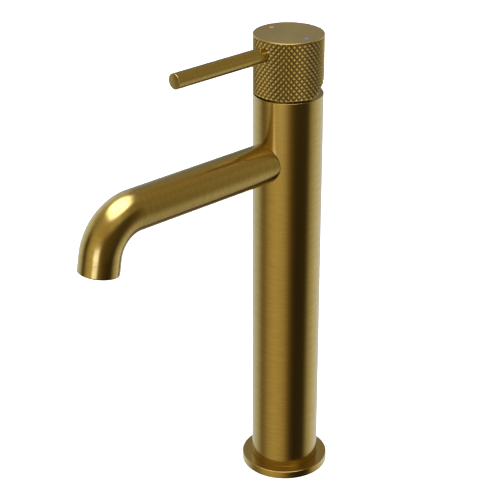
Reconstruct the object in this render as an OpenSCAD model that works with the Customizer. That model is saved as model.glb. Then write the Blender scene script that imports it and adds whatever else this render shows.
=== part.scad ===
// Tall single-lever basin mixer: a round column on a flange, a straight spout with a turned-down end,
// and a round handle cap with a rod lever over a 35 mm ceramic cartridge.
// Millimetres. +Z is up, the origin is the centre of the flange's underside, the spout and the lever
// point along -Y, hot is on the -X side and cold is on the +X side.

/* [Column] */
// Outer diameter of the column
column_d = 44.6; // [44:0.1:50]
// Height of the column's top rim above the deck
column_top = 269.5; // [150:0.5:400]
// Chamfer round the column's top rim
column_chamfer = 0.5; // [0.3:0.1:1]

/* [Base] */
// Diameter of the base flange
flange_d = 57.9; // [56:0.1:70]
// Thickness of the base flange
flange_t = 5.3; // [4:0.1:8]
// Chamfer round the flange's top edge
flange_chamfer = 0.5; // [0.3:0.1:1]
// Height of the bush inside the column's foot
bush_h = 14; // [13.5:0.5:30]
// Tapping diameter of the fixing stud's thread (M8)
stud_hole_d = 6.8; // [5:0.1:6.8]
// Depth of the fixing stud's thread
stud_hole_l = 12; // [8:1:12]

/* [Spout] */
// Outer diameter of the spout tube
spout_d = 25.8; // [25:0.1:26]
// Height of the spout's axis below the column's top rim
spout_drop = 42.6; // [42:0.1:60]
// Length from the column's axis to the start of the bend
spout_straight = 125.7; // [60:0.1:200]
// Radius of the bend's centre line
bend_r = 26.5; // [20:0.5:60]
// Angle of the bend
bend_angle = 80; // [45:1:90]
// Straight length after the bend
tail_l = 10.5; // [6:0.5:30]
// Depth of the aerator's mouth inside the spout's end
aerator_recess = 1; // [0.5:0.1:2]

/* [Handle] */
// Diameter of the handle cap over its knurling
cap_d = 44.8; // [44.6:0.1:50]
// Height of the handle cap
cap_h = 37.1; // [36:0.1:45]
// Gap between the column's rim and the cap
cap_gap = 1.4; // [0.8:0.1:3]
// Chamfer round the cap's top edge
cap_chamfer = 0.6; // [0.3:0.1:1]
// Slant of the relief under the cap's rear half
relief_angle = 26; // [24:1:30]
// Diameter of the lever rod
lever_d = 9.9; // [9:0.1:10]
// Distance from the column's axis to the lever's tip
lever_tip = 92.9; // [60:0.1:130]
// Depth of the lever's axis below the cap's top
lever_drop = 9.4; // [9:0.1:10]
// Diameter of the hot and cold index dots
index_d = 3; // [2:0.1:4]
// Distance of the index dots from the cap's axis
index_offset = 15.5; // [13:0.1:16]

/* [Cartridge] */
// Outer diameter of the cartridge
cartridge_d = 35; // [34:0.1:35]
// Tapping diameter of the hose inlets (M10x1)
inlet_d = 9; // [8:0.1:9]
// Depth of the hose inlets' thread
inlet_l = 9; // [7:0.5:9]
// Side of the spindle's square
spindle_side = 8; // [7:0.1:8]

/* [Hidden] */
$fn = 96;

brushed_brass = [0.62, 0.49, 0.22];
raw_brass = [0.80, 0.66, 0.36];
black_rubber = [0.09, 0.09, 0.10];
white_plastic = [0.88, 0.88, 0.86];
grey_plastic = [0.45, 0.46, 0.48];
ceramic_white = [0.94, 0.92, 0.88];
steel = [0.70, 0.71, 0.73];
red_enamel = [0.80, 0.16, 0.12];
blue_enamel = [0.16, 0.25, 0.68];

// Overshoot that keeps cutting shapes clear of the faces they cut
over = 1;
// Clearance between pieces that are screwed, glued or pushed together
seat_gap = 0.05;
// Clearance between surfaces that slide or turn past each other
run_gap = 0.3;
// Clearance past the end of a piece in a blind hole
end_gap = 0.5;

// Column, standing on a ledge inside the flange
column_wall = 3;
column_r = column_d / 2;
column_bore_r = column_r - column_wall;
foot_ledge = 2;
foot_hole_r = 17.6;

// Gasket in the flange's underside: the land inside it, the rim outside it and its thickness
gasket_land = 5;
gasket_rim = 2;
gasket_in_r = foot_hole_r + gasket_land;
gasket_out_r = flange_d / 2 - gasket_rim;
gasket_t = 1.5;

// Bush: its opening, the front face of its bridge, and the stud's place in the bridge
bush_opening_r = 16.5;
bush_bridge_y = 5.5;
stud_y = 11;
inlet_x = 6.4;
inlet_y = -5.4;

// Spout
spout_r = spout_d / 2;
spout_wall = 2.8;
spout_bore_r = spout_r - spout_wall;
spout_z = column_top - spout_drop;
bend_z = spout_z - bend_r;
tail_y = -spout_straight - bend_r * sin(bend_angle);
tail_z = bend_z + bend_r * cos(bend_angle);
outlet_y = tail_y - tail_l * cos(bend_angle);
outlet_z = tail_z - tail_l * sin(bend_angle);
// The tail is a hair slimmer than the bend, so that their skins cross instead of touching
tail_step = 0.02;
tail_overlap = 0.5;
// Open seam where the spout meets the column
seam_gap = 0.08;

// Fitting between the valve body and the spout: radii, its inner end and its collar's reach into the spout
nipple_thread_r = 8;
nipple_bore_r = 5.5;
nipple_hole_r = 9;
nipple_end_y = 10.5;
nipple_collar_l = 12;
nipple_out_y = column_r + nipple_collar_l;
nipple_ring_y = [12.5, 16];
channel_r = 2.5;
// O-rings: the section's radius, and the depth and width of their grooves
o_ring_r = 0.7;
groove_depth = 1.5;
groove_w = 1.8;

// Aerator, in the outlet's own frame: +Z runs up into the spout
aerator_r = 10.7;
aerator_gasket_t = 1.5;
aerator_h = tail_l + tail_overlap - aerator_gasket_t - aerator_recess;
aerator_socket_r = 10.8;
aerator_top = aerator_recess + aerator_h;
aerator_core_r = 9.5;
aerator_lip = 1.2;
aerator_gasket_in_r = 8;
notch_depth = 1.4;
notch_w = 2;
notch_h = 0.8;
cup_wall = 2;
cup_depth = 3;
jet_r = 0.8;
jet_ring_r = 5.5;
screen_t = 1;
screen_pitch = 2.2;
screen_opening = 1.6;

// Valve body, ports and seals
seat_depth = 26.5;
valve_h = 34;
seat_z = column_top - seat_depth;
valve_bottom = seat_z - valve_h;
outlet_port_y = 2.6;
port_r = 2.8;
disc_port_r = 2.4;
seal_w = 1.6;
seal_t = 0.9;

// Heights of the cartridge's pieces
base_t = 4;
base_step = 2;
disc_t = 3.5;
disc_gap = 0.02;
carrier_h = 5;
rotor_flange_t = 3;
shoulder_t = 1;
neck_rise = 2;
rotor_rise = 3.5;
pivot_depth = 2.5;
ball_drop = 9;
shank_drop = 4;
fixed_disc_z = seat_z + base_t;
moving_disc_z = fixed_disc_z + disc_t + disc_gap;
carrier_z = moving_disc_z + disc_t;
rotor_z = carrier_z + carrier_h + run_gap;
shoulder_z = rotor_z + rotor_flange_t + run_gap + shoulder_t;
neck_top = column_top + neck_rise;
rotor_top = column_top + rotor_rise;
pivot_z = column_top - pivot_depth;
ball_z = pivot_z - ball_drop;
shank_z = pivot_z - shank_drop;

// Radii and plan sizes of the cartridge's pieces
housing_wall = 1.7;
disc_fit = 0.1;
cartridge_r = cartridge_d / 2;
housing_bore_r = cartridge_r - housing_wall;
fixed_disc_r = housing_bore_r - disc_fit;
rotor_r = 11;
slot_l = 15;
neck_bore_r = rotor_r + run_gap;
neck_r = neck_bore_r + housing_wall;
moving_disc_r = 12;
moving_disc_y = 1.7;
// Mixing chamber: its depth, its middle, and the offset and radius of each round that it's made of
chamber_h = 2;
chamber_y = 1;
chamber_rounds = [[-2.2, 3.6], [0, 4.8], [2.2, 3.6]];
ball_r = 2.8;
spindle_neck_r = 2.2;
carrier_r = 9.5;
carrier_floor = 0.8;
carrier_socket = [2 * ball_r + 2 * run_gap, 2 * ball_r + 3 * run_gap];
pin_r = 1.5;
pin_gap = 0.02;
pin_inset = 1;

// Cartridge nut and the cover over it
nut_depth = 0.5;
nut_gap = 0.2;
nut_top = column_top - nut_depth;
hexagon_r = 16.6;
hexagon_h = 1.2;
trim_r = 18.5;
trim_rim_h = 1.4;
trim_h = 5;
trim_skin = 0.9;
trim_overlap = 0.1;
trim_gap = 0.5;

// Handle
cap_r = cap_d / 2;
cap_wall = 3.2;
cap_bore_r = cap_r - cap_wall;
cap_roof = 3;
cap_bottom = column_top + cap_gap;
cap_top = cap_bottom + cap_h;
lever_z = cap_top - lever_drop;
lever_r = lever_d / 2;
lever_chamfer = 0.9;
lever_thread_r = 4;
lever_thread_end = 6.5;
hub_r = 13;
hub_rise = 14;
hub_bottom = column_top + hub_rise;
hub_top = cap_top - cap_roof;
spindle_clearance = 1.5;
spindle_top = lever_z - lever_r - spindle_clearance;
grub_r = 2.5;
grub_rise = 18.5;
grub_z = column_top + grub_rise;
grub_l = 7;
grub_key = 2.5;
grub_socket_l = 2.5;
grub_access_r = 3;
index_t = 0.8;

// A ring or tube standing on z = 0
module tube(outer_r, inner_r, height) {
    difference() {
        cylinder(r = outer_r, h = height);
        translate([0, 0, -over])
            cylinder(r = inner_r, h = height + 2 * over);
    }
}

// A disc standing on z = 0 with a chamfer round its top edge
module chamfered_disc(disc_r, height, chamfer) {
    cylinder(r = disc_r, h = height - chamfer);
    translate([0, 0, height - chamfer])
        cylinder(r1 = disc_r, r2 = disc_r - chamfer, h = chamfer);
}

// A round rubber ring lying flat, with its section centred on z = 0
module o_ring(centre_r, section_r) {
    rotate_extrude()
        translate([centre_r, 0])
            circle(r = section_r);
}

// Turns a shape that stands on z = 0 so that it runs along -Y
module forward() {
    rotate([90, 0, 0])
        children();
}

// Moves a shape to the outlet, with its +Z running up into the spout
module at_outlet() {
    translate([0, outlet_y, outlet_z])
        rotate([bend_angle - 90, 0, 0])
            children();
}

// The centre points of the cartridge's three ports: hot, cold and mixed
port_points = [[-inlet_x, inlet_y], [inlet_x, inlet_y], [0, outlet_port_y]];

module at_ports() {
    for (p = port_points)
        translate([p[0], p[1], 0])
            children();
}

// The spout's straight stretch and bend, filled to a radius
module spout_path(path_r) {
    translate([0, 0, spout_z])
        forward()
            cylinder(r = path_r, h = spout_straight);
    translate([0, -spout_straight, bend_z])
        rotate([180, -90, 0])
            rotate_extrude(angle = bend_angle)
                translate([bend_r, 0])
                    circle(r = path_r);
}

module column() {
    color(brushed_brass)
        difference() {
            translate([0, 0, foot_ledge])
                chamfered_disc(column_r, column_top - foot_ledge, column_chamfer);
            cylinder(r = column_bore_r, h = column_top + over);
            translate([0, 0, spout_z])
                forward()
                    cylinder(r = nipple_hole_r, h = column_r + over);
        }
}

module base_flange() {
    color(brushed_brass)
        difference() {
            chamfered_disc(flange_d / 2, flange_t, flange_chamfer);
            translate([0, 0, -over])
                cylinder(r = foot_hole_r, h = flange_t);
            translate([0, 0, foot_ledge])
                cylinder(r = column_r + seat_gap, h = flange_t);
            translate([0, 0, -over])
                tube(gasket_out_r, gasket_in_r, gasket_t + over);
        }
}

module base_gasket() {
    color(black_rubber)
        tube(gasket_out_r - seat_gap, gasket_in_r + seat_gap, gasket_t);
}

// A threaded bush with an opening for the hoses and a bridge at the rear that takes the stud
module base_bush() {
    color(raw_brass)
        translate([0, 0, foot_ledge])
            difference() {
                cylinder(r = column_bore_r - seat_gap, h = bush_h);
                intersection() {
                    translate([0, 0, -over])
                        cylinder(r = bush_opening_r, h = bush_h + 2 * over);
                    translate([-column_r, bush_bridge_y - column_d, -over])
                        cube([column_d, column_d, bush_h + 2 * over]);
                }
                translate([0, stud_y, -over])
                    cylinder(d = stud_hole_d, h = stud_hole_l + over);
            }
}

// The block that joins the hoses, the cartridge and the spout
module valve_body() {
    color(raw_brass)
        difference() {
            translate([0, 0, valve_bottom])
                cylinder(r = column_bore_r - seat_gap, h = seat_z - valve_bottom);
            for (side = [-1, 1]) {
                translate([side * inlet_x, inlet_y, valve_bottom - over])
                    cylinder(d = inlet_d, h = inlet_l + over);
                translate([side * inlet_x, inlet_y, valve_bottom])
                    cylinder(r = port_r, h = seat_z - valve_bottom + over);
            }
            translate([0, outlet_port_y, spout_z])
                cylinder(r = port_r, h = seat_z - spout_z + over);
            translate([0, outlet_port_y, spout_z])
                forward()
                    cylinder(r = channel_r, h = column_r);
            translate([0, end_gap - nipple_end_y, spout_z])
                forward()
                    cylinder(r = nipple_thread_r + seat_gap, h = column_r);
            translate([0, 0, seat_z - seal_t])
                at_ports()
                    cylinder(r = port_r + seal_w + seat_gap, h = seal_t + over);
        }
}

// A bent pipe cut to a saddle at the column, with a threaded socket for the aerator at its end
module spout_tube() {
    color(brushed_brass)
        difference() {
            union() {
                spout_path(spout_r);
                at_outlet()
                    cylinder(r = spout_r - tail_step, h = tail_l + tail_overlap);
            }
            spout_path(spout_bore_r);
            translate([0, 0, spout_z - spout_d])
                cylinder(r = column_r + seam_gap, h = 2 * spout_d);
            at_outlet()
                translate([0, 0, -over])
                    cylinder(r = aerator_socket_r, h = tail_l + tail_overlap + over);
        }
}

// The hollow fitting brazed into the spout's root and screwed into the valve body
module spout_nipple() {
    color(raw_brass)
        translate([0, 0, spout_z])
            difference() {
                union() {
                    translate([0, -nipple_end_y, 0])
                        forward()
                            cylinder(r = nipple_thread_r, h = column_r - nipple_end_y);
                    translate([0, -column_bore_r, 0])
                        forward()
                            cylinder(r = nipple_hole_r - seat_gap, h = column_wall + seam_gap);
                    translate([0, -column_r - seam_gap, 0])
                        forward()
                            cylinder(r = spout_bore_r - seat_gap, h = nipple_out_y - column_r);
                }
                forward()
                    cylinder(r = nipple_bore_r, h = nipple_out_y + over);
                for (ring_y = nipple_ring_y)
                    translate([0, -ring_y, 0])
                        forward()
                            translate([0, 0, -groove_w / 2])
                                tube(nipple_thread_r + over, nipple_thread_r - groove_depth, groove_w);
            }
}

module spout_o_rings() {
    color(black_rubber)
        for (ring_y = nipple_ring_y)
            translate([0, -ring_y, spout_z])
                forward()
                    o_ring(nipple_thread_r - groove_depth + o_ring_r, o_ring_r);
}

// The threaded shell, with a lip at its mouth that carries the insert and four key notches
module aerator_shell() {
    color(raw_brass)
        at_outlet()
            translate([0, 0, aerator_recess])
                difference() {
                    cylinder(r = aerator_r, h = aerator_h);
                    translate([0, 0, aerator_lip])
                        cylinder(r = aerator_core_r, h = aerator_h);
                    translate([0, 0, -over])
                        cylinder(r = aerator_core_r - aerator_lip, h = aerator_h);
                    for (turn = [0:90:270])
                        rotate([0, 0, turn])
                            translate([aerator_r - notch_depth, -notch_w / 2, -over])
                                cube([notch_w, notch_w, over + notch_h]);
                }
}

// The jet former: a cup with a ring of jet holes
module aerator_insert() {
    color(grey_plastic)
        at_outlet()
            translate([0, 0, aerator_recess + aerator_lip])
                difference() {
                    cylinder(r = aerator_core_r - seat_gap, h = aerator_h - aerator_lip - end_gap);
                    translate([0, 0, -over])
                        cylinder(r = aerator_core_r - cup_wall, h = cup_depth + over);
                    for (turn = [0:30:330])
                        rotate([0, 0, turn])
                            translate([jet_ring_r, 0, 0])
                                cylinder(r = jet_r, h = aerator_h);
                }
}

// The screen at the mouth: a disc of square openings
module aerator_screen() {
    color(grey_plastic)
        at_outlet()
            translate([0, 0, aerator_recess + aerator_lip + screen_t])
                difference() {
                    cylinder(r = aerator_core_r - cup_wall - seat_gap, h = screen_t);
                    for (column_x = [-2:2], row_y = [-2:2])
                        translate([column_x * screen_pitch, row_y * screen_pitch, screen_t / 2])
                            cube([screen_opening, screen_opening, screen_t + 2 * over], center = true);
                }
}

module aerator_gasket() {
    color(black_rubber)
        at_outlet()
            translate([0, 0, aerator_top])
                tube(aerator_r, aerator_gasket_in_r, aerator_gasket_t - seat_gap);
}

// The foot of the cartridge, with its three ports
module cartridge_base() {
    color(white_plastic)
        translate([0, 0, seat_z])
            difference() {
                cylinder(r = cartridge_r, h = base_t);
                translate([0, 0, base_t - base_step])
                    tube(cartridge_r + over, housing_bore_r - seat_gap, base_step + over);
                at_ports()
                    translate([0, 0, -over])
                        cylinder(r = port_r, h = base_t + 2 * over);
                at_ports()
                    translate([0, 0, base_t - seal_t])
                        cylinder(r = port_r + seal_w / 2 + seat_gap, h = seal_t + over);
            }
}

module port_seals() {
    color(black_rubber)
        at_ports()
            translate([0, 0, seat_z - seal_t])
                tube(port_r + seal_w, port_r, seal_t);
}

module disc_seals() {
    color(black_rubber)
        at_ports()
            translate([0, 0, fixed_disc_z - seal_t])
                tube(port_r + seal_w / 2, port_r, seal_t);
}

// The lower ceramic disc, with one hole over each port
module fixed_disc() {
    color(ceramic_white)
        translate([0, 0, fixed_disc_z])
            difference() {
                cylinder(r = fixed_disc_r, h = disc_t);
                at_ports()
                    translate([0, 0, -over])
                        cylinder(r = disc_port_r, h = disc_t + 2 * over);
            }
}

// The upper ceramic disc, with the mixing chamber in its underside
module moving_disc() {
    color(ceramic_white)
        translate([0, 0, moving_disc_z])
            difference() {
                translate([0, moving_disc_y, 0])
                    cylinder(r = moving_disc_r, h = disc_t);
                for (part = chamber_rounds)
                    translate([part[0], chamber_y, -over])
                        cylinder(r = part[1], h = chamber_h + over);
            }
}

// Rides on the moving disc and takes the spindle's ball in a socket
module disc_carrier() {
    color(grey_plastic)
        translate([0, 0, carrier_z])
            difference() {
                cylinder(r = carrier_r, h = carrier_h);
                translate([-carrier_socket[0] / 2, -carrier_socket[1] / 2, carrier_floor])
                    cube([carrier_socket[0], carrier_socket[1], carrier_h]);
            }
}

// The shell of the cartridge: a wide skirt, a shoulder and a neck
module cartridge_housing() {
    color(white_plastic)
        difference() {
            union() {
                translate([0, 0, fixed_disc_z - base_step])
                    cylinder(r = cartridge_r, h = shoulder_z - fixed_disc_z + base_step);
                translate([0, 0, shoulder_z - over])
                    cylinder(r = neck_r, h = neck_top - shoulder_z + over);
            }
            cylinder(r = housing_bore_r, h = shoulder_z - shoulder_t);
            cylinder(r = neck_bore_r, h = neck_top + over);
        }
}

// The turning guide: a flange under the shoulder and a slotted neck that holds the spindle's pin
module rotor() {
    color(grey_plastic)
        difference() {
            union() {
                translate([0, 0, rotor_z])
                    cylinder(r = housing_bore_r - run_gap, h = rotor_flange_t);
                translate([0, 0, rotor_z])
                    cylinder(r = rotor_r, h = rotor_top - rotor_z);
            }
            translate([-spindle_side / 2 - run_gap, -slot_l / 2, rotor_z - over])
                cube([spindle_side + 2 * run_gap, slot_l, rotor_top - rotor_z + 2 * over]);
            translate([-rotor_r, 0, pivot_z])
                rotate([0, 90, 0])
                    cylinder(r = pin_r + pin_gap, h = 2 * rotor_r);
        }
}

module spindle_pin() {
    color(steel)
        translate([pin_inset - rotor_r, 0, pivot_z])
            rotate([0, 90, 0])
                cylinder(r = pin_r, h = 2 * rotor_r - 2 * pin_inset);
}

// A square bar with a pin hole and a ball end that pushes the disc carrier
module spindle() {
    color(raw_brass)
        difference() {
            union() {
                translate([-spindle_side / 2, -spindle_side / 2, shank_z])
                    cube([spindle_side, spindle_side, spindle_top - shank_z]);
                translate([0, 0, ball_z])
                    cylinder(r = spindle_neck_r, h = shank_z - ball_z);
                translate([0, 0, ball_z])
                    sphere(r = ball_r);
            }
            translate([-spindle_side, 0, pivot_z])
                rotate([0, 90, 0])
                    cylinder(r = pin_r + seat_gap, h = 2 * spindle_side);
        }
}

// The threaded ring that clamps the cartridge, with a hexagon for the spanner
module cartridge_nut() {
    color(raw_brass)
        difference() {
            union() {
                translate([0, 0, shoulder_z])
                    cylinder(r = column_bore_r - seat_gap, h = nut_top - shoulder_z);
                translate([0, 0, nut_top])
                    cylinder(r = hexagon_r, h = hexagon_h, $fn = 6);
            }
            translate([0, 0, shoulder_z - over])
                cylinder(r = neck_r + nut_gap, h = nut_top - shoulder_z + hexagon_h + 2 * over);
        }
}

// The sloping cover over the nut, seen in the gap when the lever is up
module trim_ring() {
    crown_r = neck_r + trim_gap;
    inside_z = trim_rim_h - trim_overlap;
    color(brushed_brass)
        translate([0, 0, nut_top])
            difference() {
                union() {
                    cylinder(r = trim_r, h = trim_rim_h);
                    translate([0, 0, trim_rim_h])
                        cylinder(r1 = trim_r, r2 = crown_r + trim_skin, h = trim_h - trim_rim_h);
                }
                translate([0, 0, -over])
                    cylinder(r = trim_r - trim_skin, h = inside_z + over);
                translate([0, 0, inside_z])
                    cylinder(r1 = trim_r - trim_skin, r2 = crown_r, h = trim_h - trim_skin - inside_z);
                cylinder(r = crown_r, h = trim_h + over);
            }
}

module handle_cap() {
    color(brushed_brass)
        difference() {
            translate([0, 0, cap_bottom])
                chamfered_disc(cap_r, cap_h, cap_chamfer);
            translate([0, 0, cap_bottom - over])
                cylinder(r = cap_bore_r, h = cap_h - cap_roof + over);
            translate([-cap_r - over, 0, cap_bottom])
                rotate([relief_angle, 0, 0])
                    translate([0, 0, -cap_d])
                        cube([cap_d + 2 * over, cap_d, cap_d]);
            translate([0, 0, lever_z])
                forward()
                    cylinder(r = lever_r + seat_gap, h = cap_r + over);
            translate([0, 0, grub_z])
                rotate([-90, 0, 0])
                    cylinder(r = grub_access_r, h = cap_r + over);
            for (side = [-1, 1])
                translate([side * index_offset, 0, cap_top - index_t])
                    cylinder(d = index_d + 2 * seat_gap, h = index_t + over);
        }
}

// The block under the cap's roof that fits over the spindle and takes the lever's thread
module handle_hub() {
    socket = spindle_side + 2 * seat_gap;
    color(raw_brass)
        difference() {
            translate([0, 0, hub_bottom])
                cylinder(r = hub_r, h = hub_top - hub_bottom);
            translate([-socket / 2, -socket / 2, hub_bottom - over])
                cube([socket, socket, spindle_top - hub_bottom + over + end_gap]);
            translate([0, -lever_thread_end, lever_z])
                forward()
                    cylinder(r = lever_thread_r + seat_gap, h = hub_r);
            translate([0, 0, grub_z])
                rotate([-90, 0, 0])
                    cylinder(r = grub_r + seat_gap, h = hub_r + over);
        }
}

// The rod with a turned-down threaded end
module lever_rod() {
    shoulder_y = hub_r + end_gap;
    color(brushed_brass)
        translate([0, 0, lever_z])
            forward() {
                translate([0, 0, shoulder_y])
                    chamfered_disc(lever_r, lever_tip - shoulder_y, lever_chamfer);
                translate([0, 0, lever_thread_end + end_gap])
                    cylinder(r = lever_thread_r, h = shoulder_y - lever_thread_end);
            }
}

// A headless screw with a hexagon socket, bearing on the spindle's rear face
module grub_screw() {
    color(steel)
        translate([0, spindle_side / 2, grub_z])
            rotate([-90, 0, 0])
                difference() {
                    cylinder(r = grub_r, h = grub_l);
                    translate([0, 0, grub_l - grub_socket_l])
                        cylinder(d = grub_key / cos(30), h = grub_socket_l + over, $fn = 6);
                }
}

module index_dot(side, tint) {
    color(tint)
        translate([side * index_offset, 0, cap_top - index_t])
            cylinder(d = index_d, h = index_t);
}

module hot_index() {
    index_dot(-1, red_enamel);
}

module cold_index() {
    index_dot(1, blue_enamel);
}

column();
base_flange();
base_gasket();
base_bush();
valve_body();
spout_tube();
spout_nipple();
spout_o_rings();
aerator_shell();
aerator_insert();
aerator_screen();
aerator_gasket();
cartridge_base();
port_seals();
disc_seals();
fixed_disc();
cartridge_housing();
cartridge_nut();
trim_ring();
moving_disc();
disc_carrier();
rotor();
spindle_pin();
spindle();
handle_hub();
handle_cap();
lever_rod();
grub_screw();
hot_index();
cold_index();
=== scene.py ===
"""A basin mixer in brushed brass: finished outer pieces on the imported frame, materials, light and camera.

Metres, in the frame of the CAD part: +Z up, origin under the centre of the base flange, and the spout and
the lever along -Y.
"""
import math

import bmesh
import bpy
from mathutils import Matrix, Vector


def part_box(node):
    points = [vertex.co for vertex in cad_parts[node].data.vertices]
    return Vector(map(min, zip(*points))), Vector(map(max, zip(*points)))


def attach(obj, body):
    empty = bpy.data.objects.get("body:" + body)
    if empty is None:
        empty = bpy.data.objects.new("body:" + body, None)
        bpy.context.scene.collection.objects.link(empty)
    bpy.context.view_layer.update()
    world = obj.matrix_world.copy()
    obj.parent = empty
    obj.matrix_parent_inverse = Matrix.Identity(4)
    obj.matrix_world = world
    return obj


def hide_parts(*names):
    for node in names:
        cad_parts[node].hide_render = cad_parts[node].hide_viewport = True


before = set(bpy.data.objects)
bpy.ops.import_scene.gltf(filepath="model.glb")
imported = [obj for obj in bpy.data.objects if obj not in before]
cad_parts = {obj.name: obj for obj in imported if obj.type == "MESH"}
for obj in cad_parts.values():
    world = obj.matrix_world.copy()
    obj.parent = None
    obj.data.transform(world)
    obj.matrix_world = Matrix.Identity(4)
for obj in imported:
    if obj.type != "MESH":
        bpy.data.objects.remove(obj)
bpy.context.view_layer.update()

MM = 0.001
# Facets round a turned or swept piece
ROUND = 192
# Edges that bend by more than this stay crisp
CRISP = math.radians(32)
# Straight facets along each quarter or half of a small rounding
ROUNDING_STEPS = 5
LIP_STEPS = 10
# Open clearance round a piece that is let into another one
SEAT = 0.05 * MM
# Vertices that lie closer than this are one vertex
WELD = 0.001 * MM


# ---------------------------------------------------------------- shapes

def rounded(corners, steps=ROUNDING_STEPS):
    """The outline through corners of (radius, height, rounding), with each corner turned into an arc."""
    outline = []
    for index, (x, z, rounding) in enumerate(corners):
        here = Vector((x, z))
        if not rounding:
            outline.append(here)
            continue
        before = (Vector(corners[index - 1][:2]) - here).normalized()
        after = (Vector(corners[(index + 1) % len(corners)][:2]) - here).normalized()
        half = before.angle(after) / 2
        centre = here + (before + after).normalized() * (rounding / math.sin(half))
        first = here + before * (rounding / math.tan(half)) - centre
        last = here + after * (rounding / math.tan(half)) - centre
        outline += [centre + rounding * first.slerp(last, step / steps) for step in range(steps + 1)]
    return outline


def finish_mesh(bm, name):
    """Makes an object from a bmesh, smooth but for its crisp edges, with its normals outwards."""
    bmesh.ops.recalc_face_normals(bm, faces=bm.faces)
    mesh = bpy.data.meshes.new(name)
    bm.to_mesh(mesh)
    bm.free()
    mesh.shade_smooth()
    mesh.set_sharp_from_angle(angle=CRISP)
    obj = bpy.data.objects.new(name, mesh)
    bpy.context.scene.collection.objects.link(obj)
    return obj


def add_face(bm, uv_layer, corners):
    """Adds one face from corners of (vertex, U, V)."""
    face = bm.faces.new([corner[0] for corner in corners])
    for loop, corner in zip(face.loops, corners):
        loop[uv_layer].uv = corner[1:]


def join_rings(bm, uv_layer, lower, upper, low_v, high_v):
    """Skins the band between two rings of vertices. A ring of one vertex is a closed end."""
    count = max(len(lower), len(upper))
    for i in range(count):
        u, next_u = i / count, (i + 1) / count
        if len(lower) == 1:
            corners = [(lower[0], (u + next_u) / 2, low_v)]
        else:
            corners = [(lower[i], u, low_v), (lower[(i + 1) % count], next_u, low_v)]
        if len(upper) == 1:
            corners += [(upper[0], (u + next_u) / 2, high_v)]
        else:
            corners += [(upper[(i + 1) % count], next_u, high_v), (upper[i], u, high_v)]
        add_face(bm, uv_layer, corners)


def skinned(name, rings, closed):
    """A skin through rings of points. U runs once round each ring, and V is the length along the skin."""
    bm = bmesh.new()
    uv_layer = bm.loops.layers.uv.new("UVMap")
    rows = [[bm.verts.new(point) for point in ring] for ring in rings]
    v = 0
    for index in range(len(rows) if closed else len(rows) - 1):
        lower, upper = rows[index], rows[(index + 1) % len(rows)]
        next_v = v + (upper[0].co - lower[0].co).length
        join_rings(bm, uv_layer, lower, upper, v, next_v)
        v = next_v
    return finish_mesh(bm, name)


def circle_ring(radius, height):
    """A ring of points round the Z axis, or one point on it."""
    if radius < WELD:
        return [Vector((0, 0, height))]
    turns = [math.tau * i / ROUND for i in range(ROUND)]
    return [Vector((radius * math.cos(turn), radius * math.sin(turn), height)) for turn in turns]


def turned(name, outline):
    """A turned solid from an outline of (radius, height) points, closed unless it starts on the axis."""
    rings = [circle_ring(radius, height) for radius, height in outline]
    return skinned(name, rings, closed=len(rings[0]) > 1)


def drill(obj, cutters):
    """Cuts the cutters out of obj and deletes them."""
    for cutter in cutters:
        cut = obj.modifiers.new("cut", "BOOLEAN")
        cut.operation = "DIFFERENCE"
        cut.solver = "EXACT"
        cut.object = cutter
    depsgraph = bpy.context.evaluated_depsgraph_get()
    mesh = bpy.data.meshes.new_from_object(obj.evaluated_get(depsgraph))
    obj.modifiers.clear()
    for cutter in cutters:
        bpy.data.objects.remove(cutter)
    bm = bmesh.new()
    bm.from_mesh(mesh)
    bmesh.ops.remove_doubles(bm, verts=bm.verts, dist=WELD)
    bm.to_mesh(mesh)
    bm.free()
    mesh.shade_smooth()
    mesh.set_sharp_from_angle(angle=CRISP)
    obj.data = mesh
    return obj


def weigh_normals(obj):
    """Shades obj with its faces counting by their area, so a wall looks straight beside a small rounding."""
    weigh = obj.modifiers.new("weigh", "WEIGHTED_NORMAL")
    weigh.keep_sharp = True
    depsgraph = bpy.context.evaluated_depsgraph_get()
    mesh = bpy.data.meshes.new_from_object(obj.evaluated_get(depsgraph))
    obj.modifiers.clear()
    obj.data = mesh


def rod_cutter(radius, start, end):
    """A plain rod between two points, to cut with."""
    outline = [(0, 0), (radius, 0), (radius, (end - start).length), (0, (end - start).length)]
    cutter = turned("cutter", outline)
    turn = (end - start).to_track_quat("Z", "Y").to_matrix().to_4x4()
    cutter.data.transform(Matrix.Translation(start) @ turn)
    return cutter


# ---------------------------------------------------------------- materials

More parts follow.
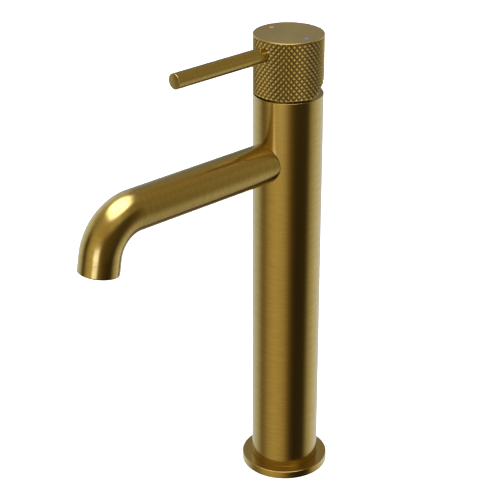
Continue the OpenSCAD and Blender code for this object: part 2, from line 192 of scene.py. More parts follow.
class Maker:
    """Short ways to add and join the nodes of one tree."""

    def __init__(self, tree):
        self.tree = tree

    def node(self, kind, **values):
        """Adds a node. A value whose name has a capital is an input socket, and any other is a setting."""
        node = self.tree.nodes.new(kind)
        for key, value in values.items():
            if key[0].isupper():
                self.put(node.inputs[key.replace("_", " ")], value)
            else:
                setattr(node, key, value)
        return node

    def put(self, socket, value):
        """Sets a socket to a value, or joins it to another node's output."""
        if isinstance(value, bpy.types.NodeSocket):
            self.tree.links.new(value, socket)
        else:
            socket.default_value = value

    def sum(self, kind, first, second=0.0):
        """A math node's output."""
        node = self.node("ShaderNodeMath", operation=kind)
        self.put(node.inputs[0], first)
        self.put(node.inputs[1], second)
        return node.outputs[0]

    def between(self, value, low, high, out_low, out_high):
        """Maps a value from one range to another, and holds it there."""
        node = self.node("ShaderNodeMapRange", Value=value, From_Min=low, From_Max=high,
                         To_Min=out_low, To_Max=out_high)
        return node.outputs[0]

    def smooth(self, value, low, high):
        """Rises softly from 0 to 1 while a value goes from low to high."""
        node = self.node("ShaderNodeMapRange", interpolation_type="SMOOTHSTEP", Value=value,
                         From_Min=low, From_Max=high)
        return node.outputs[0]

    def mix(self, factor, first, second):
        """Mixes two colours."""
        node = self.node("ShaderNodeMix", data_type="RGBA")
        self.put(node.inputs[0], factor)
        self.put(node.inputs[6], first)
        self.put(node.inputs[7], second)
        return node.outputs[2]

    def noise(self, vector, scale, detail=3.0):
        """Soft noise from 0 to 1 over a vector."""
        node = self.node("ShaderNodeTexNoise", Vector=vector, Scale=scale, Detail=detail)
        return node.outputs[0]


class Surface(Maker):
    """A new material, with the nodes that feed its shader."""

    def __init__(self, name, **values):
        """Starts a material and sets inputs of its shader."""
        self.material = bpy.data.materials.new(name)
        self.material.use_nodes = True
        super().__init__(self.material.node_tree)
        self.shader = self.tree.nodes["Principled BSDF"]
        for key, value in values.items():
            self.put(self.shader.inputs[key.replace("_", " ")], value)

    def place(self):
        """Where a point is on the object, in metres."""
        return self.node("ShaderNodeTexCoord").outputs["Object"]

    def along(self, strokes, lines):
        """A vector for strokes round a piece, by its UV map: strokes to a turn and lines to a metre."""
        uv = self.node("ShaderNodeUVMap", uv_map="UVMap").outputs[0]
        parts = self.node("ShaderNodeSeparateXYZ", Vector=uv)
        turn = self.sum("MULTIPLY", parts.outputs[0], math.tau)
        x = self.sum("MULTIPLY", self.sum("COSINE", turn), strokes)
        y = self.sum("MULTIPLY", self.sum("SINE", turn), strokes)
        z = self.sum("MULTIPLY", parts.outputs[1], lines)
        return self.node("ShaderNodeCombineXYZ", X=x, Y=y, Z=z).outputs[0]

    def finish(self, colour, roughness, height=None, depth=0.0):
        """Joins the colour, the roughness and a relief of a depth in metres to the shader."""
        self.put(self.shader.inputs["Base Color"], colour)
        self.put(self.shader.inputs["Roughness"], roughness)
        if height is not None:
            bump = self.node("ShaderNodeBump", Height=height, Distance=depth, Strength=1.0)
            self.put(self.shader.inputs["Normal"], bump.outputs[0])
        return self.material


# Brass: clean, toned by handling, and in the brush lines
BRASS = (0.475, 0.34, 0.098, 1)
BRASS_WARM = (0.44, 0.30, 0.075, 1)
BRASS_LINE = (0.30, 0.20, 0.05, 1)
# Brush lines to a metre and their depth, and the depth of the grain on other metal
BRUSH_LINES = 1200
BRUSH_DEPTH = 0.0012 * MM
METAL_GRAIN = 0.01 * MM


def brushed_brass(name, roughness, anisotropy, strokes=2.5):
    """Satin brass, brushed round the piece, with soft uneven toning and a little wear."""
    make = Surface(name, Metallic=1, Anisotropic=anisotropy, Anisotropic_Rotation=0.25)
    tangent = make.node("ShaderNodeTangent", direction_type="UV_MAP", uv_map="UVMap")
    make.put(make.shader.inputs["Tangent"], tangent.outputs[0])
    lines = make.noise(make.along(strokes, BRUSH_LINES), 1.0, 4.0)
    toning = make.noise(make.place(), 28, 2.0)
    clean = make.between(make.sum("MULTIPLY_ADD", toning, 0.7), 0.2, 0.6, 0, 1)
    colour = make.mix(clean, BRASS_WARM, BRASS)
    colour = make.mix(make.between(lines, 0.35, 0.65, 0.28, 0), colour, BRASS_LINE)
    brushing = make.between(lines, 0.25, 0.75, 0.035, -0.035)
    handling = make.between(toning, 0.3, 0.7, 0, 0.03)
    gloss = make.sum("ADD", make.sum("ADD", brushing, handling), roughness)
    return make.finish(colour, gloss, lines, BRUSH_DEPTH)


def knurled_brass(name, groove_r, tip_r):
    """Brass with polished tips and painted shade in its grooves, told apart by their distance from the axis.
    """
    make = Surface(name, Metallic=1)
    place = make.place()
    parts = make.node("ShaderNodeSeparateXYZ", Vector=place)
    flat = make.node("ShaderNodeCombineXYZ", X=parts.outputs[0], Y=parts.outputs[1]).outputs[0]
    reach = make.node("ShaderNodeVectorMath", operation="LENGTH", Vector=flat).outputs["Value"]
    tip_polish_and_groove_shade = make.between(reach, groove_r, tip_r, 0, 1)
    grain = make.noise(place, 1500)
    toning = make.noise(place, 60, 2.0)
    # Painted shade: the colour goes dark down in the grooves, where shade falls, and bright on the tips,
    # which are also polished smoother
    colour = make.mix(tip_polish_and_groove_shade, (0.19, 0.13, 0.03, 1), (0.84, 0.64, 0.24, 1))
    colour = make.mix(make.between(toning, 0.35, 0.65, 0.18, 0), colour, (0.36, 0.25, 0.07, 1))
    polish = make.between(tip_polish_and_groove_shade, 0, 1, 0.38, 0.24)
    gloss = make.sum("ADD", polish, make.between(grain, 0.3, 0.7, -0.04, 0.04))
    return make.finish(colour, gloss, grain, METAL_GRAIN)


def machined(name, colour, dark, roughness):
    """Bare turned metal with fine feed marks across the axis."""
    make = Surface(name, Metallic=1)
    place = make.place()
    spread = make.node("ShaderNodeVectorMath", operation="MULTIPLY", Vector=place)
    spread.inputs[1].default_value = (90, 90, 2600)
    marks = make.noise(spread.outputs[0], 1.0)
    stain = make.noise(place, 140)
    tint = make.mix(make.between(stain, 0.35, 0.7, 0, 0.5), colour, dark)
    gloss = make.sum("ADD", make.between(marks, 0.3, 0.7, -0.05, 0.07), roughness)
    return make.finish(tint, gloss, marks, METAL_GRAIN)


def moulded(name, colour, dark, roughness, grain_depth):
    """Plastic, rubber or ceramic with a fine surface grain."""
    make = Surface(name)
    place = make.place()
    grain = make.noise(place, 2200, 2.0)
    cloud = make.noise(place, 180)
    tint = make.mix(make.between(cloud, 0.35, 0.7, 0, 0.35), colour, dark)
    gloss = make.sum("ADD", make.between(grain, 0.3, 0.7, -0.05, 0.05), roughness)
    return make.finish(tint, gloss, grain, grain_depth)


def enamel(name, colour, dark):
    """Enamel paint in a drilled dot, glossy and slightly uneven."""
    make = Surface(name, Coat_Weight=0.4, Coat_Roughness=0.12)
    cloud = make.noise(make.place(), 900, 2.0)
    tint = make.mix(make.between(cloud, 0.3, 0.7, 0, 0.6), colour, dark)
    return make.finish(tint, make.between(cloud, 0.3, 0.7, 0.28, 0.4), cloud, 0.01 * MM)


# ---------------------------------------------------------------- pieces

# Spout: the bend's centre line radius, its angle and the straight tail after it
BEND_R = 26.5 * MM
BEND = math.radians(80)
TAIL = 10.5 * MM
# The spout's wall, the wall round the aerator's socket, and the socket's depth from the end
SPOUT_WALL = 2.8 * MM
SOCKET_WALL = 2 * MM
SOCKET_DEPTH = 11 * MM
# How far the spout stands off the column's wall, the first ring beyond the column, a ring half way to the
# bend, and the facets along the bend
SPOUT_GAP = 0.08 * MM
SPOUT_FIRST = 8 * MM
SPOUT_HALF_WAY = 80 * MM
BEND_STEPS = 40
# Column: its wall, and the hole that the spout's fitting passes through
COLUMN_WALL = 3 * MM
FITTING_R = 9 * MM
# Flange: its bore, and the wall between that bore and the gasket's recess
FLANGE_BORE_R = 17.6 * MM
FLANGE_INNER_WALL = 5 * MM
# Lever: its length beyond the axis that is turned down, and the radius of that end
LEVER_SHOULDER = 13.5 * MM
LEVER_THREAD_R = 4 * MM
# Roundings of edges
COLUMN_RIM = 0.3 * MM
COLUMN_INNER_RIM = 0.5 * MM
FLANGE_EDGE = 0.35 * MM
SMALL_EDGE = 0.3 * MM
SPOUT_ROOT_EDGE = 0.35 * MM
LEVER_TIP_EDGE = 0.4 * MM
DOT_EDGE = 0.25 * MM


def make_column(brass):
    """The column tube, rounded at its rim and drilled for the spout's fitting."""
    low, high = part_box("column")
    bore = high.x - COLUMN_WALL
    outline = rounded([
        (bore, low.z, 0),
        (high.x, low.z, 0),
        (high.x, high.z, COLUMN_RIM),
        (bore, high.z, COLUMN_INNER_RIM),
    ])
    column = turned("column_skin", outline)
    axis_z = spout_axis_z()
    hole = rod_cutter(FITTING_R, Vector((0, 0, axis_z)), Vector((0, low.y - COLUMN_WALL, axis_z)))
    dress(drill(column, [hole]), brass, "tap_body", "column")


def make_flange(brass):
    """The base flange, with its recess for the column and its groove for the gasket."""
    low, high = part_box("base_flange")
    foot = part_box("column")[0].z
    column_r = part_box("column")[1].x
    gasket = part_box("base_gasket")[1]
    groove_r = FLANGE_BORE_R + FLANGE_INNER_WALL
    outline = rounded([
        (FLANGE_BORE_R, low.z, 0),
        (groove_r, low.z, 0),
        (groove_r, gasket.z, 0),
        (gasket.x + SEAT, gasket.z, 0),
        (gasket.x + SEAT, low.z, 0),
        (high.x, low.z, SMALL_EDGE),
        (high.x, high.z, FLANGE_EDGE),
        (column_r + SEAT, high.z, SMALL_EDGE),
        (column_r + SEAT, foot, 0),
        (FLANGE_BORE_R, foot, 0),
    ])
    dress(turned("base_flange_skin", outline), brass, "tap_body", "base_flange")


def spout_axis_z():
    """The height of the spout's straight stretch."""
    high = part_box("spout_tube")[1]
    return high.z - high.x


def spout_ring(distance, radius, straight, saddle_r=0.0):
    """A ring of points across the spout, at a distance along its centre line from the column's axis.

    With a saddle radius, the ring lies on that cylinder round the column's axis instead."""
    turn = min(max(distance - straight, 0) / BEND_R, BEND)
    run = min(distance, straight)
    tail = max(distance - straight - BEND_R * BEND, 0)
    centre = Vector((
        0,
        -run - BEND_R * math.sin(turn) - tail * math.cos(turn),
        spout_axis_z() - BEND_R * (1 - math.cos(turn)) - tail * math.sin(turn),
    ))
    up = Vector((0, -math.sin(turn), math.cos(turn)))
    ring = []
    for i in range(ROUND):
        angle = math.tau * i / ROUND - math.pi / 2
        point = centre + radius * (math.cos(angle) * Vector((1, 0, 0)) + math.sin(angle) * up)
        if saddle_r:
            point.y = -math.sqrt(saddle_r ** 2 - point.x ** 2)
        ring.append(point)
    return ring


def make_spout(brass):
    """The bent spout: a saddle with an eased edge at the column, the bend, a rounded mouth and the bore."""
    low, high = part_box("spout_tube")
    radius = high.x
    column_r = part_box("column")[1].x
    straight = -low.y - (BEND_R + radius) * math.sin(BEND) - TAIL * math.cos(BEND)
    end = straight + BEND_R * BEND + TAIL
    bore = radius - SPOUT_WALL
    saddle = column_r + SPOUT_GAP
    bend = [straight + BEND_R * BEND * step / BEND_STEPS for step in range(BEND_STEPS + 1)]
    root = []
    for degrees in (0, 30, 60, 90):
        inset = SPOUT_ROOT_EDGE * (1 - math.sin(math.radians(degrees)))
        stand_off = SPOUT_ROOT_EDGE * (1 - math.cos(math.radians(degrees)))
        root.append(spout_ring(0, radius - inset, straight, saddle + stand_off))
    stations = [column_r + SPOUT_FIRST, SPOUT_HALF_WAY, *bend]
    outside = [spout_ring(distance, radius, straight) for distance in stations]
    lip = SOCKET_WALL / 2
    turns = [math.pi * step / LIP_STEPS for step in range(LIP_STEPS + 1)]
    mouth = [spout_ring(end - lip + lip * math.sin(turn), radius - lip + lip * math.cos(turn), straight)
             for turn in turns]
    inside = [spout_ring(end - SOCKET_DEPTH, inner_r, straight) for inner_r in (radius - SOCKET_WALL, bore)]
    inside += [spout_ring(distance, bore, straight) for distance in reversed(bend[:-1])]
    inside.append(spout_ring(0, bore, straight, saddle))
    spout = skinned("spout_skin", root + outside + mouth + inside, closed=True)
    dress(spout, brass, "tap_body", "spout_tube")


# Knurling: diamonds round the cap and half rows up it, the groove's depth and the flat share of each tip
DIAMONDS = 42
HALF_ROWS = 18
KNURL_DEPTH = 0.75 * MM
TIP_SHARE = 0.17
# Cap: plain rim under and over the knurling, run-out of the grooves, edge rounding, bevel at the foot,
# wall, roof and the slope of the rear relief
CAP_RIM = 0.2 * MM
RUN_OUT = 0.15 * MM
CAP_EDGE = 0.45 * MM
CAP_FOOT = 0.12 * MM
CAP_WALL = 3.2 * MM
CAP_ROOF = 3 * MM
RELIEF = math.radians(26)
# Clearance round the grub screw
SCREW_ROOM = 0.5 * MM


def knurl(bm, uv_layer, tip_r, bottom, top):
    """Skins a knurled band with flat-topped diamonds. Returns its lowest and highest rings of vertices."""
    columns = 2 * DIAMONDS
    sides = [(1, 0), (0, 1), (-1, 0), (0, -1)]
    corners = {}

    def corner(i, j, radius):
        """The face corner (vertex, U, V) at a lattice place, which may be a fraction of a step."""
        turn = math.tau * i / columns
        height = bottom + (top - bottom) * j / HALF_ROWS
        key = (round(i % columns, 3), round(j, 3))
        if key not in corners:
            corners[key] = bm.verts.new((radius * math.cos(turn), radius * math.sin(turn), height))
        return corners[key], i / columns, height

    def crossing(i, j):
        return corner(i, j, tip_r - KNURL_DEPTH)

    def tip(i, j, side):
        return corner(i + side[0] * TIP_SHARE, j + side[1] * TIP_SHARE, tip_r)

    for j in range(HALF_ROWS + 1):
        for i in range((j + 1) % 2, columns, 2):
            inside = [side for side in sides if 0 <= j + side[1] <= HALF_ROWS]
            add_face(bm, uv_layer, [tip(i, j, side) for side in inside])
            for side, following in zip(sides, sides[1:] + sides[:1]):
                if side in inside and following in inside:
                    low = [crossing(i + a, j + b) for a, b in (side, following)]
                    add_face(bm, uv_layer, [tip(i, j, side), *low, tip(i, j, following)])

    def edge(j):
        """The ring of vertices along the first or the last row."""
        ring = []
        for i in range(0, columns, 2):
            ring += [crossing(i, j), tip(i + 1, j, (-1, 0)), tip(i + 1, j, (1, 0))]
        return [place[0] for place in ring]

    return edge(0), edge(HALF_ROWS)


def cap_outlines(tip_r, low_z, high_z, knurl_bottom, knurl_top):
    """The cap's outlines over and under its knurling, as (radius, height) points that end on the axis."""
    rounding = []
    for step in range(ROUNDING_STEPS + 1):
        turn = math.pi / 2 * step / ROUNDING_STEPS
        rounding.append((tip_r - CAP_EDGE * (1 - math.cos(turn)), high_z - CAP_EDGE * (1 - math.sin(turn))))
    top = [(share * tip_r, high_z) for share in (0.6, 0.2, 0)]
    over = [(tip_r, knurl_top + RUN_OUT), *rounding, *top]
    bore = tip_r - CAP_WALL
    ceiling = high_z - CAP_ROOF
    under = [
        (tip_r, knurl_bottom - RUN_OUT),
        (tip_r, low_z + CAP_FOOT),
        (tip_r - CAP_FOOT, low_z),
        (bore + CAP_FOOT, low_z),
        (bore, low_z + CAP_FOOT),
        (bore, ceiling),
        (0, ceiling),
    ]
    return over, under


def cap_cutters(tip_r, low_z, high_z):
    """What is cut out of the cap: the rear relief, the lever's and the screw's holes and the dots' seats."""
    lever_low, lever_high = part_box("lever_rod")
    screw_low, screw_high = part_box("grub_screw")
    lever_axis = Vector((0, 0, (lever_low.z + lever_high.z) / 2))
    screw_axis = Vector((0, 0, (screw_low.z + screw_high.z) / 2))
    outwards = Vector((0, 2 * tip_r, 0))
    cutters = [
        relief_cutter(tip_r, low_z),
        rod_cutter(lever_high.x + SEAT, lever_axis, lever_axis - outwards),
        rod_cutter(screw_high.x + SCREW_ROOM, screw_axis, screw_axis + outwards),
    ]
    for dot in ("hot_index", "cold_index"):
        dot_low, dot_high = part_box(dot)
        radius = (dot_high.x - dot_low.x) / 2 + SEAT
        seat = Vector(((dot_low.x + dot_high.x) / 2, 0, dot_low.z))
        above = Vector((seat.x, 0, high_z + MM))
        cutters.append(rod_cutter(radius, seat, above))
    return cutters


def make_cap(brass, plain_brass):
    """The knurled handle cap: hollow, relieved at the rear and drilled for the lever, screw and dots."""
    low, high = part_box("handle_cap")
    tip_r = high.x
    knurl_bottom = low.z + CAP_RIM + RUN_OUT
    knurl_top = high.z - CAP_EDGE - CAP_RIM - RUN_OUT
    bm = bmesh.new()
    uv_layer = bm.loops.layers.uv.new("UVMap")
    first, last = knurl(bm, uv_layer, tip_r, knurl_bottom, knurl_top)
    directions = [Vector((*vertex.co.xy.normalized(), 0)) for vertex in first]

    def add_rings(ring, v, outline):
        """Carries the skin on from a ring through an outline of (radius, height) points."""
        before = Vector((tip_r, v))
        for radius, height in outline:
            points = [outward * radius + Vector((0, 0, height)) for outward in directions]
            following = [bm.verts.new(point) for point in (points if radius else points[:1])]
            next_v = v + (Vector((radius, height)) - before).length
            join_rings(bm, uv_layer, ring, following, v, next_v)
            ring, v, before = following, next_v, Vector((radius, height))

    over, under = cap_outlines(tip_r, low.z, high.z, knurl_bottom, knurl_top)
    add_rings(last, knurl_top, over)
    add_rings(first, knurl_bottom, under)
    cap = drill(finish_mesh(bm, "handle_cap_skin"), cap_cutters(tip_r, low.z, high.z))
    cap.data.materials.append(brass)
    cap.data.materials.append(plain_brass)
    for face in cap.data.polygons:
        face.material_index = 0 if knurl_bottom < face.center.z < knurl_top else 1
    dress(cap, None, "handle", "handle_cap")


def relief_cutter(tip_r, bottom):
    """A prism that slants up from the middle of the cap's lower rim to its rear."""
    far = 2 * tip_r
    side = [(0, bottom - MM), (far, bottom - MM), (far, bottom + far * math.tan(RELIEF)), (0, bottom)]
    bm = bmesh.new()
    ends = [[bm.verts.new((x, y, z)) for y, z in side] for x in (-far, far)]
    bm.faces.new(ends[0])
    bm.faces.new(ends[1])
    for k in range(4):
        following = (k + 1) % 4
        bm.faces.new([ends[0][k], ends[0][following], ends[1][following], ends[1][k]])
    return finish_mesh(bm, "cutter")


def make_lever(brass):
    """The lever rod, with a rounded tip and a turned-down end inside the cap.

    The other pieces don't mirror it, which keeps a hard dark line off the top of the spout."""
    low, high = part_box("lever_rod")
    radius = high.x
    near, far = -high.y, -low.y
    outline = [Vector((0, near)), Vector((LEVER_THREAD_R, near)), Vector((LEVER_THREAD_R, LEVER_SHOULDER))]
    outline += rounded([(radius, LEVER_SHOULDER, 0), (radius, far, LEVER_TIP_EDGE), (0, far, 0)])
    lever = turned("lever_skin", outline)
    along_spout = Matrix.Rotation(math.pi / 2, 4, "X")
    lever.data.transform(Matrix.Translation((0, 0, (low.z + high.z) / 2)) @ along_spout)
    lever.visible_glossy = False
    dress(lever, brass, "handle", "lever_rod")


def make_dot(node, material):
    """An enamel dot, filled a little proud of its drilled seat and rounded over at its rim."""
    low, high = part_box(node)
    radius = (high.x - low.x) / 2
    height = high.z - low.z
    outline = rounded([(0, 0, 0), (radius, 0, 0), (radius, height, DOT_EDGE), (0, height, 0)])
    dot = turned(node + "_enamel", outline)
    dot.data.transform(Matrix.Translation(((low.x + high.x) / 2, 0, low.z)))
    dress(dot, material, "handle", node)


def dress(piece, material, body, node):
    """Gives a finished piece its material, its body and the CAD node that it stands for."""
    weigh_normals(piece)
    if material:
        piece.data.materials.append(material)
    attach(piece, body)
    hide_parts(node)


def dress_nodes(material, names):
    """Gives CAD nodes that stay in view a finished material."""
    for name in names:
        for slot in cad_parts[name].material_slots:
            slot.material = material


# ---------------------------------------------------------------- stage

# The camera looks at this point from this far off, turned and raised by these angles
AIM = Vector((-0.3, -32.3, 170.1)) * MM
DISTANCE = 1.0
TURN = math.radians(47.265)
RAISE = math.radians(25.71)
LENS_MM = 112.344
FILM_MM = 36


def make_camera():
    """The camera, three quarters from the front right."""
    camera = bpy.data.objects.new("camera", bpy.data.cameras.new("camera"))
    bpy.context.scene.collection.objects.link(camera)
    back = Vector((math.sin(TURN) * math.cos(RAISE), -math.cos(TURN) * math.cos(RAISE), math.sin(RAISE)))
    camera.location = AIM + back * DISTANCE
    camera.rotation_euler = (math.pi / 2 - RAISE, 0, TURN)
    camera.data.lens = LENS_MM
    camera.data.sensor_width = FILM_MM
    bpy.context.scene.camera = camera


# The studio round the object, as the brass mirrors it: stops of azimuth in degrees, with 0 at the camera
# and rising to its right, and linear colour. The bands follow one another upwards.
STUDIO_TABLE = [
    (-180, (0.42, 0.42, 0.40)), (-155, (0.24, 0.22, 0.18)), (-110, (0.26, 0.23, 0.16)),
    (-60, (0.42, 0.36, 0.24)), (-20, (0.40, 0.34, 0.22)), (0, (0.25, 0.20, 0.12)),
    (20, (0.07, 0.06, 0.04)), (60, (0.05, 0.04, 0.03)), (76, (0.28, 0.26, 0.22)),
    (90, (0.58, 0.57, 0.55)), (140, (0.54, 0.54, 0.54)), (154, (0.24, 0.21, 0.16)),
    (168, (0.24, 0.22, 0.18)), (180, (0.42, 0.42, 0.40)),
]
STUDIO_LOW = [
    (-180, (0.80, 0.82, 0.85)), (-140, (0.81, 0.91, 1.00)), (-122, (0.76, 0.84, 0.92)),
    (-110, (0.64, 0.67, 0.72)), (-100, (0.45, 0.44, 0.43)), (-90, (0.30, 0.25, 0.17)),
    (-80, (0.33, 0.27, 0.16)), (-70, (0.48, 0.40, 0.26)), (-58, (0.65, 0.56, 0.35)),
    (-40, (0.76, 0.65, 0.39)), (-20, (0.69, 0.57, 0.34)), (-8, (0.56, 0.46, 0.26)),
    (2, (0.38, 0.29, 0.16)), (10, (0.19, 0.14, 0.07)), (20, (0.08, 0.06, 0.035)),
    (32, (0.04, 0.032, 0.022)), (58, (0.05, 0.04, 0.03)), (67, (0.09, 0.075, 0.05)),
    (75, (0.27, 0.24, 0.19)), (85, (0.54, 0.53, 0.47)), (97, (0.73, 0.75, 0.78)),
    (112, (0.92, 0.98, 1.10)), (135, (0.96, 1.05, 1.22)), (155, (0.80, 0.85, 0.92)),
    (180, (0.80, 0.82, 0.85)),
]
STUDIO_MIDDLE = [
    (-180, (0.19, 0.21, 0.215)), (-166, (0.66, 0.72, 0.80)), (-150, (0.96, 1.08, 1.30)),
    (-125, (0.94, 1.06, 1.30)), (-112, (0.83, 0.91, 1.10)), (-100, (0.57, 0.60, 0.66)),
    (-93, (0.24, 0.21, 0.13)), (-86, (0.15, 0.12, 0.06)), (-79, (0.17, 0.13, 0.06)),
    (-70, (0.44, 0.38, 0.24)), (-58, (0.72, 0.64, 0.42)), (-40, (0.90, 0.80, 0.48)),
    (-24, (0.92, 0.82, 0.50)), (-12, (0.66, 0.57, 0.36)), (-3, (0.42, 0.34, 0.19)),
    (8, (0.22, 0.16, 0.07)), (25, (0.14, 0.105, 0.05)), (59, (0.10, 0.08, 0.045)),
    (69, (0.13, 0.10, 0.055)), (79, (0.35, 0.30, 0.18)), (92, (0.54, 0.50, 0.37)),
    (125, (0.88, 0.97, 1.15)), (150, (0.78, 0.86, 1.02)), (166, (0.55, 0.60, 0.68)),
    (180, (0.19, 0.21, 0.215)),
]
STUDIO_HIGH = [
    (-180, (0.37, 0.34, 0.31)), (-165, (0.78, 0.84, 0.92)), (-150, (0.78, 0.88, 1.04)),
    (-135, (0.70, 0.68, 0.64)), (-110, (0.50, 0.45, 0.28)), (-90, (0.46, 0.40, 0.23)),
    (-60, (0.60, 0.53, 0.33)), (-40, (0.64, 0.55, 0.32)), (-20, (0.60, 0.50, 0.28)),
    (0, (0.58, 0.47, 0.26)), (22, (0.70, 0.63, 0.44)), (36, (0.72, 0.68, 0.50)),
    (48, (0.56, 0.50, 0.34)), (60, (0.40, 0.34, 0.19)), (75, (0.33, 0.27, 0.15)),
    (110, (0.40, 0.33, 0.19)), (140, (0.36, 0.28, 0.14)), (160, (0.37, 0.33, 0.24)),
    (180, (0.37, 0.34, 0.31)),
]
# Elevations in degrees where each band gives way to the next one up
TABLE_TO_LOW = (-46, -34)
LOW_TO_MIDDLE = (-25, -11)
MIDDLE_TO_HIGH = (14, 36)
# The upright strip light at the front left: its light, and its soft edges in degrees
STRIP = (2.4, 2.65, 4.2, 1)
STRIP_LEFT = (-35, -29)
STRIP_RIGHT = (-11, -2)
STRIP_FOOT = (-15, -12.5)
STRIP_HEAD = (3, 15)
# The soft box overhead: its light, the mean elevation of its edge, how much lower the edge lies on two
# opposite sides and on one of them, the azimuth of that side's middle, and the softness of the edge
OVERHEAD = (5.2, 5.4, 6.6, 1)
OVERHEAD_EDGE = 61
OVERHEAD_OBLONG = 7
OVERHEAD_LEAN = 3
OVERHEAD_SIDE = 122
OVERHEAD_SOFT = (-6, 11)


def band(make, azimuth, stops):
    """The colour of one band of the studio by azimuth."""
    node = make.node("ShaderNodeValToRGB", Fac=make.sum("ADD", make.sum("DIVIDE", azimuth, 360), 0.5))
    ramp = node.color_ramp
    ramp.interpolation = "EASE"
    while len(ramp.elements) < len(stops):
        ramp.elements.new(0.5)
    for element, (place, colour) in zip(ramp.elements, stops):
        element.position = (place + 180) / 360
        element.color = (*colour, 1)
    return node.outputs[0]


def studio_walls(make, azimuth, rise):
    """The toned walls and cards, band over band, with the strip light in front of them."""
    walls = band(make, azimuth, STUDIO_TABLE)
    upper_bands = [(TABLE_TO_LOW, STUDIO_LOW), (LOW_TO_MIDDLE, STUDIO_MIDDLE), (MIDDLE_TO_HIGH, STUDIO_HIGH)]
    for edge, stops in upper_bands:
        walls = make.mix(make.smooth(rise, *edge), walls, band(make, azimuth, stops))
    across = make.sum("SUBTRACT", make.smooth(azimuth, *STRIP_LEFT), make.smooth(azimuth, *STRIP_RIGHT))
    upright = make.sum("SUBTRACT", make.smooth(rise, *STRIP_FOOT), make.smooth(rise, *STRIP_HEAD))
    return make.mix(make.sum("MULTIPLY", across, upright), walls, STRIP)


def soft_box(make, azimuth, rise, walls):
    """Lays the soft box overhead on the walls. Its edge is an oval that leans to one side."""
    from_side = make.sum("RADIANS", make.sum("SUBTRACT", azimuth, OVERHEAD_SIDE))
    twice = make.sum("MULTIPLY", from_side, 2)
    oblong = make.sum("MULTIPLY", make.sum("COSINE", twice), OVERHEAD_OBLONG)
    lean = make.sum("MULTIPLY", make.sum("COSINE", from_side), OVERHEAD_LEAN)
    edge = make.sum("ADD", make.sum("ADD", oblong, lean), OVERHEAD_EDGE)
    lower, upper = (make.sum("ADD", edge, softness) for softness in OVERHEAD_SOFT)
    return make.mix(make.smooth(rise, lower, upper), walls, OVERHEAD)


def make_world():
    """The studio that lights the brass, turned to face the camera. The camera itself sees plain white."""
    world = bpy.data.worlds.new("studio")
    bpy.context.scene.world = world
    world.use_nodes = True
    world.node_tree.nodes.clear()
    make = Maker(world.node_tree)
    way = make.node("ShaderNodeTexCoord").outputs["Generated"]
    turned_way = make.node("ShaderNodeVectorRotate", rotation_type="Z_AXIS", Vector=way,
                           Angle=math.pi / 2 - TURN).outputs[0]
    parts = make.node("ShaderNodeSeparateXYZ", Vector=turned_way)
    azimuth = make.sum("DEGREES", make.sum("ARCTAN2", parts.outputs[1], parts.outputs[0]))
    rise = make.sum("DEGREES", make.sum("ARCSINE", parts.outputs[2]))
    light = soft_box(make, azimuth, rise, studio_walls(make, azimuth, rise))
    by_camera = make.node("ShaderNodeLightPath").outputs["Is Camera Ray"]
    background = make.node("ShaderNodeBackground", Color=make.mix(by_camera, light, (1, 1, 1, 1)))
    make.node("ShaderNodeOutputWorld", Surface=background.outputs[0])


# The floor's half width, its two tints and the glow that keeps it pale
FLOOR_REACH = 4.0
FLOOR_DARK = (0.90, 0.90, 0.90, 1)
FLOOR_PALE = (0.93, 0.93, 0.93, 1)
FLOOR_GLOW = 0.25


def make_floor():
    """A plain pale floor, which the brass doesn't mirror."""
    mesh = bpy.data.meshes.new("floor")
    corners = [(x * FLOOR_REACH, y * FLOOR_REACH, 0) for x, y in ((-1, -1), (1, -1), (1, 1), (-1, 1))]
    mesh.from_pydata(corners, [], [(0, 1, 2, 3)])
    floor = bpy.data.objects.new("floor", mesh)
    bpy.context.scene.collection.objects.link(floor)
    glow = {"Emission_Color": (1, 1, 1, 1), "Emission_Strength": FLOOR_GLOW}
    make = Surface("pale_floor", Specular_IOR_Level=0, **glow)
    mottle = make.noise(make.place(), 6)
    tint = make.mix(make.between(mottle, 0.3, 0.7, 0, 1), FLOOR_DARK, FLOOR_PALE)
    mesh.materials.append(make.finish(tint, 0.9))
    floor.visible_glossy = False


# The top light: its place, its width and its power in watts
LIGHT_PLACE = Vector((0.2, -0.3, 1.8))
LIGHT_WIDTH = 1.6
LIGHT_POWER = 22


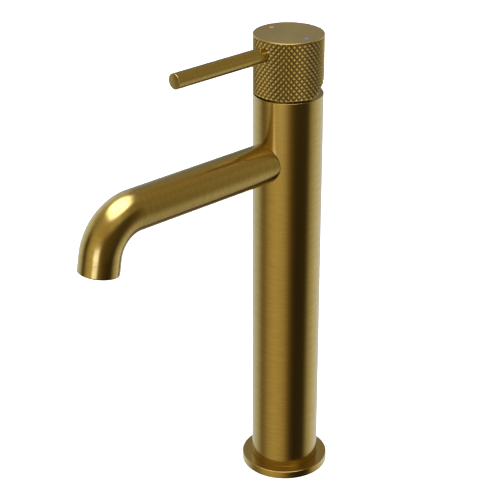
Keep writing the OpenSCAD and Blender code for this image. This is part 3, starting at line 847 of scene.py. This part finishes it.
def make_light():
    """A wide soft light high over the object, which lights the floor and isn't mirrored in the brass."""
    lamp = bpy.data.lights.new("top_light", "AREA")
    lamp.shape = "DISK"
    lamp.size = LIGHT_WIDTH
    lamp.energy = LIGHT_POWER
    light = bpy.data.objects.new("top_light", lamp)
    light.location = LIGHT_PLACE
    light.rotation_euler = LIGHT_PLACE.to_track_quat("Z", "Y").to_euler()
    light.visible_glossy = False
    bpy.context.scene.collection.objects.link(light)


# ---------------------------------------------------------------- the scene

make_camera()
make_world()
make_light()
make_floor()
bpy.context.scene.view_settings.view_transform = "Standard"

brass = brushed_brass("brushed_brass", 0.16, 0.2)
cap_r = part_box("handle_cap")[1].x
knurl_brass = knurled_brass("knurled_brass", cap_r - KNURL_DEPTH, cap_r)
top_brass = brushed_brass("cap_brass", 0.33, 0.15, 5.0)

make_column(brass)
make_flange(brass)
make_spout(brass)
make_cap(knurl_brass, top_brass)
make_lever(brass)
make_dot("hot_index", enamel("red_enamel", (0.50, 0.09, 0.07, 1), (0.40, 0.06, 0.05, 1)))
make_dot("cold_index", enamel("blue_enamel", (0.10, 0.10, 0.26, 1), (0.07, 0.07, 0.20, 1)))

dress_nodes(machined("machined_brass", (0.66, 0.48, 0.18, 1), (0.42, 0.28, 0.09, 1), 0.32),
            ["base_bush", "valve_body", "spout_nipple", "aerator_shell", "cartridge_nut", "trim_ring",
             "spindle", "handle_hub"])
dress_nodes(machined("machined_steel", (0.56, 0.57, 0.59, 1), (0.36, 0.36, 0.37, 1), 0.3),
            ["spindle_pin", "grub_screw"])
dress_nodes(moulded("black_rubber", (0.022, 0.022, 0.023, 1), (0.05, 0.05, 0.05, 1), 0.62, 0.02 * MM),
            ["base_gasket", "spout_o_rings", "aerator_gasket", "port_seals", "disc_seals"])
dress_nodes(moulded("white_plastic", (0.80, 0.80, 0.77, 1), (0.68, 0.67, 0.62, 1), 0.45, 0.01 * MM),
            ["cartridge_base", "cartridge_housing"])
dress_nodes(moulded("grey_plastic", (0.20, 0.21, 0.23, 1), (0.12, 0.12, 0.13, 1), 0.42, 0.01 * MM),
            ["rotor", "disc_carrier", "aerator_insert", "aerator_screen"])
dress_nodes(moulded("ceramic", (0.86, 0.83, 0.77, 1), (0.76, 0.72, 0.66, 1), 0.16, 0.002 * MM),
            ["fixed_disc", "moving_disc"])
